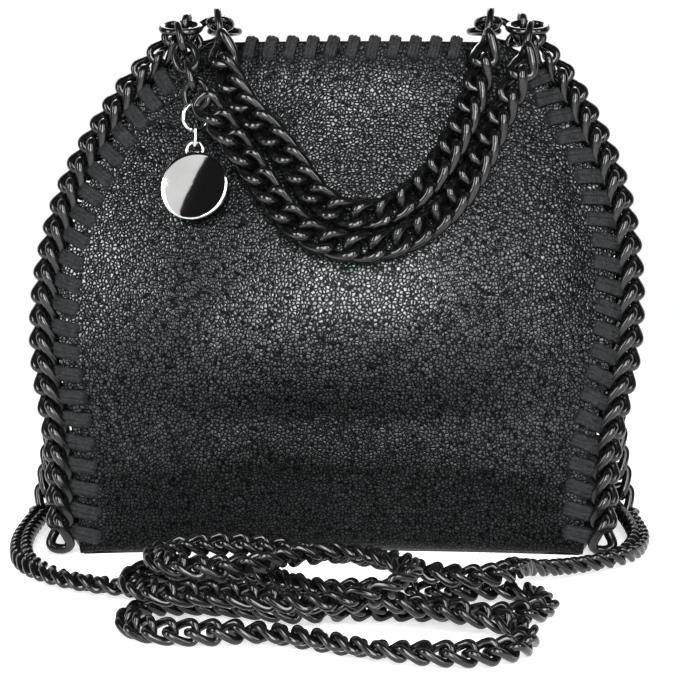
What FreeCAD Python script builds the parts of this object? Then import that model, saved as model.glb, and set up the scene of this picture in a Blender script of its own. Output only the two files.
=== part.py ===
import FreeCAD, Part
import math
import os
from collections import namedtuple

V = FreeCAD.Vector

# Sizes of the leather body, in millimetres
body_height = 160.0
widest_half_width = 85.5
base_half_depth = 26.0
belly_depth = 36.0
top_lean = 7.0
leather_thickness = 1.6
base_thickness = 2.0
gusset_thickness = 1.4
gusset_inset = 7.0
gusset_fold = 10.0
seam_gap = 0.4

# Sizes of the inside
board_thickness = 1.6
board_half_width = 62.0
lining_thickness = 0.6
lining_inset = 11.0
lining_drop = 7.0
snap_radius = 7.0
snap_height = 2.4
snap_nose_radius = 3.0
snap_nose_height = 1.6

# Sizes of the lacing
thong_width = 3.4
thong_thickness = 0.9
thong_outer_reach = 5.2
thong_inner_reach = 4.5
thong_clearance = 0.35
thong_edge_clearance = 0.95
thong_bend = 0.7
thong_slant = 14.0
top_lacing_pitch = 6.3
top_lacing_half_span = 32.0

# Sizes of the chains: half length and half width of a link's centre line, and its wire
link_half_length = 5.2
link_half_width = 3.3
link_wire = 2.2
link_twist = 50.0
hook_twist = 40.0
link_gap = 0.35
edge_pitch = 7.1
edge_chain_clearance = 0.4
edge_chain_foot = 7.4
handle_pitch = 7.5
handle_face_gap = 0.9
carrier_half_width = 4.2
strand_corner = 34.0
ring_corner = 35.0
carrier_roll = 30.0
left_link_half_length = 4.6
strap_half_length = 3.9
strap_half_width = 2.5
strap_wire = 1.6
strap_pitch = 5.5
strap_roll = 12.0
strap_roll_length = 120.0
strap_ring_radius = 4.4
strap_ring_wire = 2.0
left_run_length = 125.0
right_run_length = 130.0

# Places of the handle rings, from the top corners of the leather
ring_outset = 9.5
ring_back_rise = 5.9
ring_front_rise = 2.4
ring_back_depth = 1.1
ring_front_reach = 6.8
ring_bar = 3.0
back_ring_inboard = 2.4
back_ring_rise = 5.2
back_ring_radius = 4.6
front_handle_drop = 58.5
back_handle_drop = 54.0

# Sizes of the pendant
pendant_ring_radius = 4.1
pendant_ring_wire = 1.5
pendant_link_half_length = 3.4
pendant_link_half_width = 2.1
pendant_link_wire = 1.2
pendant_bail_radius = 2.6
pendant_bail_wire = 1.3
disc_radius = 10.9
disc_thickness = 2.4
disc_rim = 0.9
disc_step = 0.3
pendant_face_gap = 4.3

# Shape of the walls: shares of the sizes above at shares of the height
height_shares = (0.0, 0.12, 0.25, 0.37, 0.5, 0.62, 0.75, 0.87, 0.94, 1.0)
front_width_shares = (0.91, 0.915, 0.94, 0.985, 1.0, 0.975, 0.90, 0.775, 0.675, 0.52)
back_width_shares = (1.10, 1.06, 1.03, 1.01, 1.0, 0.97, 0.90, 0.775, 0.675, 0.52)
edge_depth_shares = (1.0, 0.99, 0.95, 0.89, 0.80, 0.69, 0.55, 0.42, 0.35, 0.31)
front_middle_shares = (0.56, 0.77, 0.93, 1.0, 1.0, 0.90, 0.70, 0.49, 0.40, 0.34)
back_middle_shares = (0.70, 0.76, 0.80, 0.80, 0.76, 0.68, 0.55, 0.43, 0.36, 0.31)
section_shares = (0.06, 0.12, 0.19, 0.25, 0.31, 0.37, 0.44, 0.5, 0.56,
                  0.62, 0.69, 0.75, 0.81, 0.87, 0.91, 0.94, 0.97, 0.985)
small_share = 0.002

# Routes of the handles: shares of the half span and of the drop, right to left
front_handle_shares = ((0.91, 0.17), (0.82, 0.34), (0.66, 0.63), (0.42, 0.88), (0.05, 1.0),
                       (-0.26, 0.92), (-0.43, 0.77), (-0.58, 0.58))
back_handle_shares = ((0.92, 0.2), (0.83, 0.4), (0.69, 0.62), (0.48, 0.835), (0.28, 0.945),
                      (0.05, 0.985), (-0.15, 0.945), (-0.36, 0.785), (-0.57, 0.56),
                      (-0.785, 0.38), (-0.915, 0.2))

Wall = namedtuple("Wall", "side widths middles")
front = Wall(-1, front_width_shares, front_middle_shares)
back = Wall(1, back_width_shares, back_middle_shares)


# Smooth values down a column of the table of shares
def slope(column, row):
    low = max(row - 1, 0)
    high = min(row + 1, len(column) - 1)
    return (column[high] - column[low]) / (height_shares[high] - height_shares[low])


def along(column, share):
    row = 0
    while row < len(column) - 2 and height_shares[row + 1] < share:
        row += 1
    span = height_shares[row + 1] - height_shares[row]
    t = (share - height_shares[row]) / span
    rise = 3 * t ** 2 - 2 * t ** 3
    leave = (t ** 3 - 2 * t ** 2 + t) * span * slope(column, row)
    arrive = (t ** 3 - t ** 2) * span * slope(column, row + 1)
    return (1 - rise) * column[row] + rise * column[row + 1] + leave + arrive


# Points and directions on a wall's outer face, across it from -1 to 1
def half_width(wall, share):
    return widest_half_width * along(wall.widths, share)


def wall_point(wall, across, share, depth=0.0):
    x = top_lean * share ** 2 + across * half_width(wall, share)
    edge = base_half_depth * along(edge_depth_shares, share)
    middle = belly_depth * along(wall.middles, share)
    y = edge + (middle - edge) * (1 - across ** 2) - depth
    return V(x, wall.side * y, share * body_height)


def wall_frame(wall, across, share):
    step = small_share
    up = wall_point(wall, across, share + step) - wall_point(wall, across, share - step)
    sideways = wall_point(wall, across + step, share) - wall_point(wall, across - step, share)
    up.normalize()
    outward = up.cross(sideways)
    outward.normalize()
    outward = outward * (wall.side * (1 if outward.y > 0 else -1))
    return up, outward


def face_depth(wall, x, z):
    share = z / body_height
    across = (x - top_lean * share ** 2) / half_width(wall, share)
    return wall_point(wall, across, share).y


# Sheets that follow a wall
def curve_across(wall, depth, inset, share):
    reach = 1 - inset / half_width(wall, share)
    left = wall_point(wall, -reach, share, depth)
    right = wall_point(wall, reach, share, depth)
    crown = wall_point(wall, 0, share, depth) * 2 - (left + right) * 0.5
    curve = Part.BezierCurve()
    curve.setPoles([left, crown, right])
    return curve.toShape()


def closed_band(outer, inner):
    start_outer, end_outer = outer.Vertexes[0].Point, outer.Vertexes[-1].Point
    start_inner, end_inner = inner.Vertexes[0].Point, inner.Vertexes[-1].Point
    sides = [Part.makeLine(end_outer, end_inner), Part.makeLine(start_inner, start_outer)]
    return Part.Wire([outer, sides[0], inner.reversed(), sides[1]])


def heights_between(low, high):
    return [low] + [share for share in section_shares if low < share < high] + [high]


def sheet(wall, depth, thickness, inset, low, high):
    sections = []
    for share in heights_between(low, high):
        outer = curve_across(wall, depth, inset, share)
        inner = curve_across(wall, depth + thickness, inset, share)
        sections.append(closed_band(outer, inner))
    return Part.makeLoft(sections, True, False)


def plate(depth, inset, base, thickness):
    share = base / body_height
    outline = closed_band(curve_across(front, depth, inset(front, share), share),
                          curve_across(back, depth, inset(back, share), share))
    return Part.Face(outline).extrude(V(0, 0, thickness))


# Side gusset, folded inwards along its middle
gusset_top_share = 0.9
low_fold_share = 0.3


def gusset_section(side, share):
    ends = []
    for wall in (front, back):
        reach = 1 - gusset_inset / half_width(wall, share)
        ends.append(wall_point(wall, side * reach, share, leather_thickness + seam_gap))
    nearest = min(side * end.x for end in ends)
    depth = gusset_fold * (low_fold_share + (1 - low_fold_share) * share)
    fold = V(side * (nearest - depth), 0, share * body_height)
    inwards = V(-side * gusset_thickness, 0, 0)
    outline = [ends[0], fold, ends[1], ends[1] + inwards, fold + inwards, ends[0] + inwards]
    return Part.makePolygon(outline + outline[:1])


def gusset(side):
    low = base_thickness / body_height
    sections = [gusset_section(side, share) for share in heights_between(low, gusset_top_share)]
    return Part.makeLoft(sections, True, False)


# Wire bent along an arc from a start and a heading to an end, and a straight piece of wire
def bend(start, heading, end, wire):
    chord = end - start
    sideways = chord - heading * chord.dot(heading)
    turn = 2 * math.atan2(sideways.Length, chord.dot(heading))
    radius = chord.Length / (2 * math.sin(turn / 2))
    sideways.normalize()
    disc = Part.Face(Part.Wire(Part.Circle(start, heading, wire / 2).toShape()))
    return disc.revolve(start + sideways * radius, heading.cross(sideways), math.degrees(turn))


def straight(start, end, wire):
    return Part.makeCylinder(wire / 2, (end - start).Length, start, end - start)


# Twisted link: one quarter is two arcs that share a tangent, and half turns make the rest
def twisted_link(half_length, half_width_of_link, wire, hand):
    twist = hand * math.radians(link_twist)
    end = V(half_length, 0, 0)
    middle = V(0, half_width_of_link, 0)
    leaving = V(0, math.cos(twist), math.sin(twist))
    arriving = V(-1, 0, -half_width_of_link * twist / half_length)
    arriving.normalize()
    chord = middle - end
    spread = 1 - leaving.dot(arriving)
    pull = chord.dot(leaving + arriving)
    reach = (math.sqrt(pull ** 2 + 2 * spread * chord.dot(chord)) - pull) / (2 * spread)
    meeting = (end + leaving * reach + middle - arriving * reach) * 0.5
    between = (middle - arriving * reach) - (end + leaving * reach)
    between.normalize()
    quarter = [bend(end, leaving, meeting, wire), bend(meeting, between, middle, wire)]
    pieces = list(quarter)
    for axis in (V(1, 0, 0), V(0, 1, 0), V(0, 0, 1)):
        pieces += [piece.rotated(V(0, 0, 0), axis, 180) for piece in quarter]
    return pieces[0].fuse(pieces[1:]).removeSplitter().Solids[0]


# Plain oval link in its own XY plane, and a round ring
def plain_link(half_length, half_width_of_link, wire):
    run = half_length - half_width_of_link
    across = V(0, half_width_of_link, 0)
    pieces = []
    for side in (-1, 1):
        corner = V(side * run, -side * half_width_of_link, 0)
        pieces.append(bend(corner, V(side, 0, 0), corner + across * (2 * side), wire))
        pieces.append(straight(V(-run, 0, 0) + across * side, V(run, 0, 0) + across * side, wire))
    return pieces[0].fuse(pieces[1:]).removeSplitter().Solids[0]


def round_ring(radius, wire):
    return Part.makeTorus(radius, wire / 2)


# Puts a copy of a shape with its X along a line and its Z towards a facing
def placed(shape, origin, heading, facing):
    x = V(heading)
    x.normalize()
    z = facing - x * facing.dot(x)
    z.normalize()
    y = z.cross(x)
    matrix = FreeCAD.Matrix(x.x, y.x, z.x, origin.x, x.y, y.y, z.y, origin.y, x.z, y.z, z.z, origin.z)
    copy = shape.copy()
    copy.Placement = FreeCAD.Placement(matrix)
    return copy


def unit(x, y, z):
    vector = V(x, y, z)
    vector.normalize()
    return vector


def turned(vector, axis, degrees):
    return FreeCAD.Rotation(axis, degrees).multVec(vector)


def smooth_curve(points):
    curve = Part.BSplineCurve()
    curve.interpolate(points)
    return curve


# Links along a curve, evenly spaced between two distances along it
def chain(link, curve, first, last, pitch, facing_at):
    count = round((last - first) / pitch)
    links = []
    for number in range(count + 1):
        share = number / count
        place = curve.parameterAtDistance(first + share * (last - first), curve.FirstParameter)
        heading = curve.tangent(place)[0]
        links.append(placed(link, curve.value(place), heading, facing_at(share, heading)))
    return links


# Facing that lays the first (-1) or last (1) end of a twisted link across a chosen direction
def end_laid(across, heading, hand, end):
    x = V(heading)
    x.normalize()
    return turned(x.cross(across), x, -end * hand * hook_twist)


# Leather body
def no_inset(wall, share):
    return 0


floor_share = base_thickness / body_height
front_panel = sheet(front, 0, leather_thickness, 0, floor_share, 1.0)
back_panel = sheet(back, 0, leather_thickness, 0, floor_share, 1.0)
base_panel = plate(0, no_inset, 0, base_thickness)
left_gusset = gusset(-1)
right_gusset = gusset(1)

# Inside: board, lining and magnetic snap
def board_inset(wall, share):
    return half_width(wall, share) - board_half_width


board_depth = leather_thickness + 2 * seam_gap
base_board = plate(board_depth, board_inset, base_thickness, board_thickness)
lining_floor = base_thickness + board_thickness
lining_base = plate(board_depth, board_inset, lining_floor, lining_thickness)
lining_low = (lining_floor + lining_thickness + seam_gap) / body_height
lining_high = 1 - lining_drop / body_height
lining_depth = leather_thickness + seam_gap
front_lining = sheet(front, lining_depth, lining_thickness, lining_inset, lining_low, lining_high)
back_lining = sheet(back, lining_depth, lining_thickness, lining_inset, lining_low, lining_high)


def snap_half(wall, share, nose):
    outward = wall_frame(wall, 0, share)[1]
    inwards = outward * -1
    seat = wall_point(wall, 0, share) + inwards * (lining_depth + lining_thickness)
    body = Part.makeCylinder(snap_radius, snap_height, seat, inwards)
    rim = [edge for edge in body.Edges if edge.Closed]
    body = body.makeFillet(snap_height / 4, rim)
    top = seat + inwards * snap_height
    if nose:
        pin = Part.makeCylinder(snap_nose_radius, snap_nose_height, top, inwards)
        return body.fuse(pin).removeSplitter().Solids[0]
    socket = Part.makeCylinder(snap_nose_radius + seam_gap, snap_nose_height, top, outward)
    return body.cut(socket).Solids[0]


snap_share = 0.88
snap_socket = snap_half(front, snap_share, False)
snap_stud = snap_half(back, snap_share, True)


# One stitch of thong folded over an edge: X along the edge, Y into the leather, Z out of its face
def thong_stitch():
    near = thong_clearance
    far = thong_clearance + thong_thickness
    inner = -leather_thickness
    turn = -thong_edge_clearance
    tip = turn - thong_thickness
    outline = [V(0, thong_outer_reach, near), V(0, thong_outer_reach, far), V(0, tip, far),
               V(0, tip, inner - far), V(0, thong_inner_reach, inner - far),
               V(0, thong_inner_reach, inner - near), V(0, turn, inner - near), V(0, turn, near)]
    face = Part.Face(Part.makePolygon(outline + outline[:1]))
    face.translate(V(-thong_width / 2, 0, 0))
    stitch = face.extrude(V(thong_width, 0, 0))
    corners = [edge for edge in stitch.Edges
               if abs(edge.CenterOfMass.y - tip) < near / 2 and abs(edge.CenterOfMass.x) < near / 2
               and abs(edge.Length - thong_width) < near / 2]
    return stitch.makeFillet(thong_bend, corners)


stitch = thong_stitch()


def stitch_on(edge_point, into, outward, lean):
    into = turned(into, outward, lean)
    return placed(stitch, edge_point, into.cross(outward), outward)


# Edge chains and the lacing that ties them on
edge_offset = thong_edge_clearance + thong_thickness + edge_chain_clearance + link_half_width + link_wire / 2
edge_turnout = math.radians(90 - hook_twist)


def edge_place(wall, side, share):
    up, outward = wall_frame(wall, side, share)
    away = up.cross(outward)
    away = away * (side * (1 if away.x > 0 else -1))
    middle = wall_point(wall, side, share) - outward * (leather_thickness / 2)
    return middle, outward, away


def edge_point(wall, side, share):
    middle, outward, away = edge_place(wall, side, share)
    return middle + away * edge_offset


def corner(wall, side):
    return wall_point(wall, side, 1.0)


def front_ring_back(side):
    return corner(front, side) + V(side * ring_outset, ring_back_depth, ring_back_rise)


def front_ring_front(side):
    return corner(front, side) + V(side * ring_outset, -ring_front_reach, ring_front_rise)


def back_ring_centre(side):
    top = corner(back, side)
    return top + V(-side * back_ring_inboard, 0, back_ring_rise)


edge_shares = (0.025, 0.12, 0.25, 0.37, 0.5, 0.62, 0.75, 0.85, 0.92)
hook = link_wire + link_gap
ring_steepness = 0.35
ring_slack = 0.2


def front_edge_chain(side):
    end = front_ring_back(side)
    points = [edge_point(front, side, share) for share in edge_shares]
    rise = end - points[-1]
    up = unit(rise.x, 0, rise.z + ring_steepness * rise.Length)
    points += [end - up * link_half_length, end + up * (hook + ring_slack)]
    curve = smooth_curve(points)
    link = twisted_link(link_half_length, link_half_width, link_wire, side)
    facing = V(side * math.sin(edge_turnout), front.side * math.cos(edge_turnout), 0)
    first = edge_chain_foot - points[0].z
    last = curve.length() - link_half_length
    return chain(link, curve, first, last, edge_pitch, lambda share, heading: facing)


def back_edge_chain(side):
    centre = back_ring_centre(side)
    inboard = unit(-side * 0.87, 0, 0.5)
    hooked = centre + V(side * back_ring_radius, 0, 0)
    points = [edge_point(back, side, share) for share in edge_shares]
    points += [hooked - inboard * link_half_length, hooked + inboard * hook]
    curve = smooth_curve(points)
    link = twisted_link(link_half_length, link_half_width, link_wire, side)
    low = V(side * math.sin(edge_turnout), back.side * math.cos(edge_turnout), 0)
    high = end_laid(inboard.cross(V(0, 1, 0)), inboard, side, 1)
    if high.dot(V(0, 1, 0)) < 0:
        high = high * -1
    first = edge_chain_foot - points[0].z
    last = curve.length() - link_half_length
    return chain(link, curve, first, last, edge_pitch,
                 lambda share, heading: low * (1 - share ** 3) + high * share ** 3)


lacing_shares = (0.045, 0.93)


def side_lacing(wall, side):
    path = smooth_curve([wall_point(wall, side, share) for share in heights_between(*lacing_shares)])
    count = round(path.length() / edge_pitch)
    stitches = []
    for number in range(count + 1):
        target = path.value(path.parameterAtDistance(path.length() * number / count, path.FirstParameter))
        share = target.z / body_height
        middle, outward, away = edge_place(wall, side, share)
        lean = wall.side * thong_slant
        stitches.append(stitch_on(wall_point(wall, side, share), away * -1, outward, lean))
    return stitches


top_frame_share = 0.99


def top_lacing(wall):
    count = round(2 * top_lacing_half_span / top_lacing_pitch)
    stitches = []
    for number in range(count + 1):
        across = (2 * number / count - 1) * top_lacing_half_span / half_width(wall, 1.0)
        outward = wall_frame(wall, across, top_frame_share)[1]
        into = outward.cross(V(wall.side, 0, 0))
        stitches.append(stitch_on(wall_point(wall, across, 1.0), into, outward, -thong_slant))
    return stitches


# Rings that hold the handles at the top corners
def front_corner_ring(side):
    rear = front_ring_back(side)
    fore = front_ring_front(side)
    half_across = (rear - fore).Length / 2
    ring = plain_link(half_across + ring_bar / 2, half_across, link_wire)
    lying = (rear - fore).cross(V(1, 0, 0))
    return placed(ring, (rear + fore) * 0.5, V(1, 0, 0), lying)


def back_corner_ring(side):
    return placed(round_ring(back_ring_radius, link_wire), back_ring_centre(side), V(1, 0, 0), V(0, 0, 1))


# Plain link that hooks over a wire at one point and ends its own wire at another
end_reach = 2 * link_half_length - hook


def hooked_link(over, heading, facing, half_width_of_link):
    centre = over + heading * (link_half_length - hook)
    return placed(plain_link(link_half_length, half_width_of_link, link_wire), centre, heading, facing)


handle_link = twisted_link(link_half_length, link_half_width, link_wire, 1)
sideways = V(1, 0, 0)
thickness_on_face = link_half_width * math.sin(math.radians(link_twist)) + link_wire / 2


def on_face(x, z):
    return V(x, face_depth(front, x, z) - thickness_on_face - handle_face_gap, z)


# Route of a handle: straight through its first and last links, hanging free until it meets the leather
def handle_route(start, leaving, end, arriving, shares, half_span, drop):
    points = [start, start + leaving * link_half_length]
    hanging = points[-1].y
    for across, down in shares:
        point = on_face(top_lean + across * half_span, start.z - down * drop)
        points.append(V(point.x, min(point.y, hanging), point.z))
    return smooth_curve(points + [end - arriving * link_half_length, end])


# Twisted links of a handle, turned square to the plain links at its two ends
def handle_links(curve, first_across, last_across):
    start = curve.tangent(curve.FirstParameter)[0]
    finish = curve.tangent(curve.LastParameter)[0]
    first = end_laid(first_across, start, 1, -1)
    last = end_laid(last_across, finish, 1, 1)
    outward = V(0, -1, 0)
    first = first if first.dot(outward) > 0 else first * -1
    last = last if last.dot(outward) > 0 else last * -1

    def facing_at(share, heading):
        near_first = max(1 - 2 * share, 0)
        near_last = max(2 * share - 1, 0)
        return first * near_first + last * near_last + outward * (1 - near_first - near_last)

    inset = link_half_length - hook
    return chain(handle_link, curve, inset, curve.length() - inset, handle_pitch, facing_at)


# Front handle: one plain link on the right ring, and four on the left that end in the pendant's carrier
right_pivot = front_ring_front(1)
left_pivot = front_ring_front(-1)
right_fall = unit(-0.2, -0.35, -0.91)
right_end = right_pivot + right_fall * end_reach
left_fall = unit(0.25, -0.35, -0.9)
left_hooked = 2 * left_link_half_length - 2 * hook
second_top = left_pivot + left_fall * left_hooked
second_bottom = second_top + left_fall * (2 * left_link_half_length)
carrier_top = second_bottom + left_fall * left_hooked
carrier_fall = unit(0.3, -0.2, -0.93)
carrier_bottom = carrier_top + carrier_fall * (2 * left_link_half_length)
carrier_facing = turned(sideways.cross(carrier_fall), carrier_fall, carrier_roll)
carrier_facing.normalize()
carrier_across = carrier_fall.cross(carrier_facing)
carrier_bend = carrier_bottom - carrier_fall * carrier_half_width
left_link = plain_link(left_link_half_length, link_half_width, link_wire)
carrier_link = plain_link(left_link_half_length, carrier_half_width, link_wire)
left_facing = sideways.cross(left_fall)


def middle_of(start, end):
    return (start + end) * 0.5


def left_strand_link(start, end, number):
    square = left_facing if number % 2 else left_fall.cross(left_facing)
    return placed(left_link, middle_of(start, end), left_fall, square)


def carrier_direction(degrees):
    angle = math.radians(degrees)
    return carrier_fall * math.cos(angle) + carrier_across * math.sin(angle)


front_handle = [hooked_link(right_pivot, right_fall, sideways, link_half_width),
                left_strand_link(left_pivot, second_top, 0),
                left_strand_link(second_top, second_bottom, 1),
                left_strand_link(second_bottom, carrier_top, 2)]
pendant_carrier = placed(carrier_link, middle_of(carrier_top, carrier_bottom), carrier_fall, carrier_facing)
strand_fall = unit(0.62, -0.25, -0.74)
left_end = carrier_bend + carrier_direction(strand_corner) * carrier_half_width
front_curve = handle_route(right_end, right_fall, left_end, strand_fall * -1, front_handle_shares,
                           (right_pivot.x - left_pivot.x) / 2, front_handle_drop)
front_handle += handle_links(front_curve, sideways, carrier_facing)

# Back handle: two plain links reach over the mouth on each side, and the rest hangs from them
root_forward = unit(0, -1, 0)
root_rise = unit(0, -0.99, 0.14)
over_link = plain_link(link_half_length, link_half_width, link_wire)


def back_pivot(side):
    return back_ring_centre(side) + root_forward * back_ring_radius


def root_wire(side):
    return back_pivot(side) + root_forward * (2 * link_half_length - 2 * hook)


def drop_pivot(side):
    return root_wire(side) + root_rise * (2 * link_half_length)


def back_fall(side):
    return unit(-side * 0.15, -0.35, -0.92)


def back_root(side):
    over = placed(over_link, middle_of(root_wire(side), drop_pivot(side)), root_rise, V(0, 0, 1))
    return [hooked_link(back_pivot(side), root_forward, sideways, link_half_width), over]


back_root_links = back_root(-1) + back_root(1)
back_handle = [hooked_link(drop_pivot(side), back_fall(side), sideways, link_half_width) for side in (1, -1)]
back_curve = handle_route(drop_pivot(1) + back_fall(1) * end_reach, back_fall(1),
                          drop_pivot(-1) + back_fall(-1) * end_reach, back_fall(-1) * -1,
                          back_handle_shares, (back_pivot(1).x - back_pivot(-1).x) / 2, back_handle_drop)
back_handle += handle_links(back_curve, sideways, sideways)

# Pendant: a ring on the carrier link, a narrow link on the ring, and the disc on that
down = V(0, 0, -1)
pendant_sideways = unit(0.98, -0.2, 0)
ring_facing = unit(0.57, -0.82, 0)
link_facing = unit(-0.985, -0.17, 0)
ring_out = carrier_direction(-ring_corner)
ring_hook = carrier_bend + ring_out * carrier_half_width
ring_lift = link_wire / 2 + pendant_ring_wire / 2 + link_gap
ring_centre = ring_hook - ring_out * ring_lift + down * pendant_ring_radius
ring_swing_axis = ring_out.cross(carrier_facing)
pendant_ring = placed(round_ring(pendant_ring_radius, pendant_ring_wire), ring_centre, down, ring_facing)
link_hook = ring_centre + down * pendant_ring_radius
link_lift = pendant_ring_wire / 2 + pendant_link_wire / 2 + link_gap
bail_lift = pendant_link_wire / 2 + pendant_bail_wire / 2 + link_gap
pendant_reach = (2 * pendant_link_half_length - link_lift + pendant_bail_radius - bail_lift
                 + pendant_bail_wire / 2 + 2 * disc_radius)
lowest = link_hook + down * pendant_reach
pendant_lean = face_depth(front, lowest.x, lowest.z) - pendant_face_gap - link_hook.y
pendant_fall = unit(0, pendant_lean, -pendant_reach)
link_centre = link_hook + pendant_fall * (pendant_link_half_length - link_lift)
pendant_link = placed(plain_link(pendant_link_half_length, pendant_link_half_width, pendant_link_wire),
                      link_centre, pendant_fall, link_facing)
bail_hook = link_centre + pendant_fall * pendant_link_half_length
bail_centre = bail_hook + pendant_fall * (pendant_bail_radius - bail_lift)
disc_centre = bail_centre + pendant_fall * (disc_radius + pendant_bail_wire / 2)
disc_facing = pendant_fall.cross(pendant_sideways)


def disc_with_bail():
    disc = Part.makeCylinder(disc_radius, disc_thickness, V(0, 0, -disc_thickness / 2))
    disc = disc.makeFillet(disc_thickness / 4, [edge for edge in disc.Edges if edge.Closed])
    hollow = Part.makeCylinder(disc_radius - disc_rim, disc_step, V(0, 0, disc_thickness / 2 - disc_step))
    bail = round_ring(pendant_bail_radius, pendant_bail_wire)
    bail.translate(V(-disc_radius - pendant_bail_wire / 2, 0, 0))
    whole = disc.cut(hollow).fuse(bail).removeSplitter().Solids[0]
    return placed(whole, disc_centre, pendant_fall, disc_facing)


pendant_disc = disc_with_bail()

# Strap: a ring on the lowest link of each back edge chain, and a chain laid between the rings
back_left_links = back_edge_chain(-1)
back_right_links = back_edge_chain(1)


def strap_ring_hook(links):
    fall = link_half_length - link_wire / 2 - strap_ring_wire / 2 - link_gap
    return links[0].Placement.Base - V(0, 0, fall)


def strap_ring_centre(links):
    return strap_ring_hook(links) + root_forward * strap_ring_radius


def strap_ring(links):
    ring = round_ring(strap_ring_radius, strap_ring_wire)
    return placed(ring, strap_ring_centre(links), sideways, V(0, 0, 1))


# Route of the strap, left ring to right ring: run along the floor, three layers of pile, and back
strap_route = [V(*point) for point in (
    (-99.4, 16.3, 4.6), (-99.6, -4, 3.8), (-97, -26, 3.6), (-92, -46, 3.6), (-82, -62, 3.6),
    (-68, -73, 3.6), (-50, -78, 3.6), (-30, -75, 3.6), (-10, -80, 3.6), (10, -76, 3.6), (28, -81, 3.6),
    (43, -77, 3.6), (55, -80, 3.6), (60, -90, 3.6), (55, -100, 3.6), (42, -102, 3.6), (28, -99, 3.6),
    (12, -97, 3.6), (-6, -102, 3.6), (-22, -94, 3.6), (-36, -91, 3.6), (-48, -96, 3.6), (-52, -107, 3.6),
    (-46, -117, 3.6), (-33, -120, 3.6), (-17, -118, 3.6), (-2, -125, 3.6), (10, -132, 3.6), (25, -136, 3.6),
    (38, -136, 3.6), (48, -130, 3.6), (51, -119.5, 3.8), (45.5, -111.5, 4.6), (34, -108, 6.2),
    (18, -109.5, 8.6), (-2, -104, 10.5),
    (-14, -92, 10.5), (-26, -83, 10.5), (-40, -81, 10.5), (-51, -88, 10.5), (-52, -100, 10.5),
    (-42, -109, 10.5), (-28, -107, 10.5), (-13, -114, 10.6), (2, -121.5, 11.4), (15, -121, 14.4),
    (23, -111, 17), (18, -99, 17.5), (5, -91, 17.5), (-9, -96, 17.5), (-19, -106, 17.5), (-31, -110, 17.5),
    (-43, -104, 17.5), (-46, -92, 17.4), (-38, -83, 17.3), (-25, -81, 17.2), (-10, -81, 15.6),
    (6, -77, 13.2), (21, -83, 11.4), (34, -91, 10.6), (46, -89, 10.6), (53, -78, 10.2), (55, -66, 7),
    (63, -57, 4.4), (76, -49, 3.6), (89, -39, 3.6), (96.5, -22, 3.6), (99.6, -4, 3.8), (99.4, 16.3, 4.6))]
strap_curve = Part.BSplineCurve()
strap_curve.buildFromPoles(strap_route, False, 2)
strap_length = strap_curve.length()
strap_end_share = left_run_length / strap_length


def strap_facing(share, heading):
    roll = strap_roll * math.sin(2 * math.pi * share * strap_length / strap_roll_length)
    lying = turned(V(0, 0, 1), heading, roll)
    for end, near in ((-1, share), (1, 1 - share)):
        if near < strap_end_share:
            hooked = end_laid(V(0, 0, 1), heading, 1, end)
            hooked = hooked if hooked.z > 0 else hooked * -1
            weight = 1 - near / strap_end_share
            lying = hooked * weight + lying * (1 - weight)
    return lying


strap_link = twisted_link(strap_half_length, strap_half_width, strap_wire, 1)
strap_inset = strap_half_length - strap_wire / 2 - strap_ring_wire / 2 - link_gap
strap_last = strap_length - strap_inset
strap_links = chain(strap_link, strap_curve, strap_inset, strap_last, strap_pitch, strap_facing)
left_run = round(left_run_length / strap_pitch)
right_run = len(strap_links) - round(right_run_length / strap_pitch)


# Least gap between links of the strap that are not next to each other
def least_self_gap(links):
    link_width = 2 * strap_half_width + strap_wire
    least = link_width
    for number, link in enumerate(links):
        for other in links[number + 2:]:
            apart = (link.Placement.Base - other.Placement.Base).Length
            if apart < least + link_width:
                least = min(least, link.distToShape(other)[0])
    return least


parts = {
    "front_panel": [front_panel],
    "back_panel": [back_panel],
    "base_panel": [base_panel],
    "left_gusset": [left_gusset],
    "right_gusset": [right_gusset],
    "base_board": [base_board],
    "base_lining": [lining_base],
    "front_lining": [front_lining],
    "back_lining": [back_lining],
    "snap_socket": [snap_socket],
    "snap_stud": [snap_stud],
    "front_left_edge_chain": front_edge_chain(-1),
    "front_right_edge_chain": front_edge_chain(1),
    "back_left_edge_chain": back_left_links,
    "back_right_edge_chain": back_right_links,
    "front_left_lacing": side_lacing(front, -1),
    "front_right_lacing": side_lacing(front, 1),
    "back_left_lacing": side_lacing(back, -1),
    "back_right_lacing": side_lacing(back, 1),
    "front_top_lacing": top_lacing(front),
    "back_top_lacing": top_lacing(back),
    "front_left_corner_ring": [front_corner_ring(-1)],
    "front_right_corner_ring": [front_corner_ring(1)],
    "back_left_corner_ring": [back_corner_ring(-1)],
    "back_right_corner_ring": [back_corner_ring(1)],
    "front_handle_chain": front_handle,
    "pendant_carrier_link": [pendant_carrier],
    "back_handle_root_links": back_root_links,
    "back_handle_chain": back_handle,
    "pendant_ring": [pendant_ring],
    "pendant_link": [pendant_link],
    "pendant_disc": [pendant_disc],
    "left_strap_ring": [strap_ring(back_left_links)],
    "right_strap_ring": [strap_ring(back_right_links)],
    "strap_left_run": strap_links[:left_run],
    "strap_pile": strap_links[left_run:right_run],
    "strap_right_run": strap_links[right_run:],
}

os.makedirs("parts", exist_ok=True)
for name, solids in parts.items():
    Part.makeCompound(solids).exportStep("parts/" + name + ".step")
    print(name, len(solids), "solids")
print("front handle turns at", left_pivot, right_pivot)
print("back handle's root turns at", back_pivot(-1), "and the rest at", drop_pivot(-1))
print("pendant ring turns at", ring_hook, "about", ring_swing_axis)
print("pendant link turns at", link_hook, "about", link_facing)
print("pendant disc turns at", bail_hook, "about", disc_facing)
print("strap length", strap_length, "in", len(strap_links), "links")
print("least gap of the strap to itself", least_self_gap(strap_links))
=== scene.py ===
import math
from collections import namedtuple

import bpy
import numpy as np
from mathutils import Matrix, Vector, noise


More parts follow.
